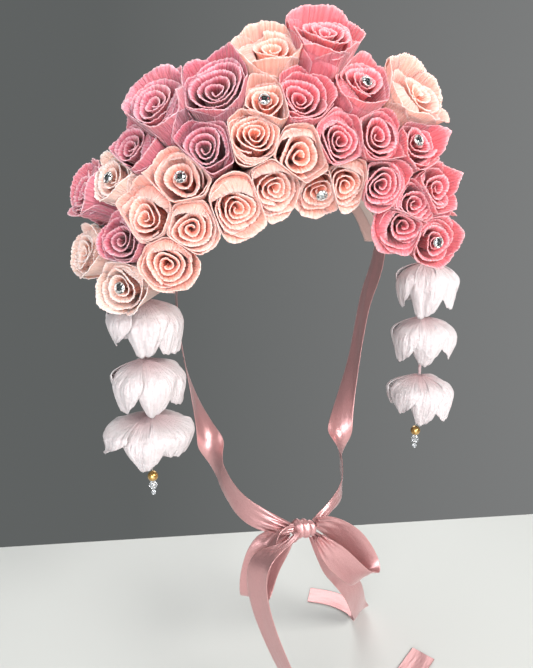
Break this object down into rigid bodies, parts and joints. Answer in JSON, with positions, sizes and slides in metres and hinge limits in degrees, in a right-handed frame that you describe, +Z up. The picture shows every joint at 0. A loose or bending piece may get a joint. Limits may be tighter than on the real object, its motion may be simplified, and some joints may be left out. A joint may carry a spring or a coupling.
{
  "type": "flower crown",
  "caption": "Halo crown of crepe-paper roses on a curved band, with hanging paper-flower tassels and a satin ribbon tied in a bow under the chin.",
  "frame": {"origin": "middle of the band's inner face at its highest point, where the crown rests on the head", "axes": "+Z up as worn, the wearer faces -Y, so +X is the wearer's left side"},
  "size_m": [0.2776, 0.1709, 0.484],
  "materials": {
    "crepe_pink": "fine crepe grain, matte",
    "crepe_dusty_pink": "fine crepe grain, matte",
    "crepe_peach": "fine crepe grain, matte",
    "crepe_cream": "fine crepe grain, matte",
    "crepe_blush": "fine crepe grain, matte",
    "white_paper": "crinkled paper, matte",
    "twisted_paper": "twisted crepe paper, matte",
    "gold_bead": "pearl gold",
    "crystal": "clear faceted",
    "wire": "bright",
    "satin": "satin",
    "felt": "matte felt",
    "lining": "matte",
    "band_core": "matte"
  },
  "bodies": {
    "crown": {"back_roses_centre": "crepe_blush", "back_roses_left": "crepe_blush", "back_roses_right": "crepe_blush", "band_lining": "lining", "bow_knot": "satin", "bow_loop_left": "satin", "bow_loop_right": "satin", "felt_base": "felt", "headband_core": "band_core", "ribbon_strand_left": "satin", "ribbon_strand_right": "satin", "ribbon_tail_left": "satin", "ribbon_tail_right": "satin", "rose_brow_left": "crepe_pink", "rose_bud_right": "crepe_dusty_pink", "rose_cream_right": "crepe_cream", "rose_dark_heart": "crepe_pink", "rose_fan_right": "crepe_peach", "rose_front_centre": "crepe_peach", "rose_front_left": "crepe_peach", "rose_front_right": "crepe_peach", "rose_gem_front": "crepe_peach", "rose_gem_low_left": "crepe_pink", "rose_gem_low_right": "crepe_cream", "rose_gem_middle_right": "crepe_peach", "rose_gem_outer_left": "crepe_pink", "rose_gem_outer_right": "crepe_cream", "rose_gem_top": "crepe_peach", "rose_gem_upper_left": "crepe_pink", "rose_low_right": "crepe_peach", "rose_middle_centre": "crepe_peach", "rose_middle_left": "crepe_pink", "rose_middle_orange": "crepe_peach", "rose_middle_right": "crepe_dusty_pink", "rose_oval_left": "crepe_pink", "rose_pointed_left": "crepe_pink", "rose_side_right": "crepe_dusty_pink", "rose_small_left": "crepe_pink", "rose_small_right": "crepe_dusty_pink", "rose_temple_left": "crepe_pink", "rose_temple_right": "crepe_peach", "rose_top_centre": "crepe_peach", "rose_top_left": "crepe_pink", "rose_upper_right_inner": "crepe_dusty_pink", "rose_upper_right_outer": "crepe_dusty_pink", "rose_wide_left": "crepe_peach"},
    "thread_right": {"thread_right": "twisted_paper"},
    "top_flower_right": {"flower_top_right": "white_paper"},
    "middle_flower_right": {"flower_middle_right": "white_paper"},
    "bottom_flower_right": {"flower_bottom_right": "white_paper"},
    "pin_right": {"pin_right": "wire", "gold_bead_right": "gold_bead", "crystal_bead_right": "crystal"},
    "thread_left": {"thread_left": "twisted_paper"},
    "top_flower_left": {"flower_top_left": "white_paper"},
    "middle_flower_left": {"flower_middle_left": "white_paper"},
    "bottom_flower_left": {"flower_bottom_left": "white_paper"},
    "pin_left": {"pin_left": "wire", "gold_bead_left": "gold_bead", "crystal_bead_left": "crystal"}
  },
  "joints": [
    {"name": "tassel_right_sway", "type": "hinge", "parent": "crown", "child": "thread_right", "pos_m": [-0.09997, -0.0045, -0.06598], "axis": [0, 1, 0], "range_deg": [-4, 30]},
    {"name": "tassel_right_swing", "type": "hinge", "parent": "thread_right", "child": "top_flower_right", "pos_m": [-0.09997, -0.0045, -0.08798], "axis": [1, 0, 0], "range_deg": [-25, 8]},
    {"name": "middle_flower_right_sway", "type": "hinge", "parent": "top_flower_right", "child": "middle_flower_right", "pos_m": [-0.09997, -0.0045, -0.12998], "axis": [0, 1, 0], "range_deg": [-8, 12]},
    {"name": "bottom_flower_right_swing", "type": "hinge", "parent": "middle_flower_right", "child": "bottom_flower_right", "pos_m": [-0.09997, -0.0045, -0.17098], "axis": [1, 0, 0], "range_deg": [-12, 12]},
    {"name": "pin_right_sway", "type": "hinge", "parent": "bottom_flower_right", "child": "pin_right", "pos_m": [-0.09997, -0.0045, -0.21098], "axis": [0, 1, 0], "range_deg": [-20, 20]},
    {"name": "tassel_left_sway", "type": "hinge", "parent": "crown", "child": "thread_left", "pos_m": [0.10904, -0.0045, -0.04799], "axis": [0, 1, 0], "range_deg": [-30, 1.5]},
    {"name": "tassel_left_swing", "type": "hinge", "parent": "thread_left", "child": "top_flower_left", "pos_m": [0.10904, -0.0045, -0.06999], "axis": [1, 0, 0], "range_deg": [-20, 10]},
    {"name": "middle_flower_left_sway", "type": "hinge", "parent": "top_flower_left", "child": "middle_flower_left", "pos_m": [0.10904, -0.0045, -0.11199], "axis": [0, 1, 0], "range_deg": [-12, 6]},
    {"name": "bottom_flower_left_swing", "type": "hinge", "parent": "middle_flower_left", "child": "bottom_flower_left", "pos_m": [0.10904, -0.0045, -0.15899], "axis": [1, 0, 0], "range_deg": [-12, 12]},
    {"name": "pin_left_sway", "type": "hinge", "parent": "bottom_flower_left", "child": "pin_left", "pos_m": [0.10904, -0.0045, -0.19799], "axis": [0, 1, 0], "range_deg": [-20, 20]}
  ]
}
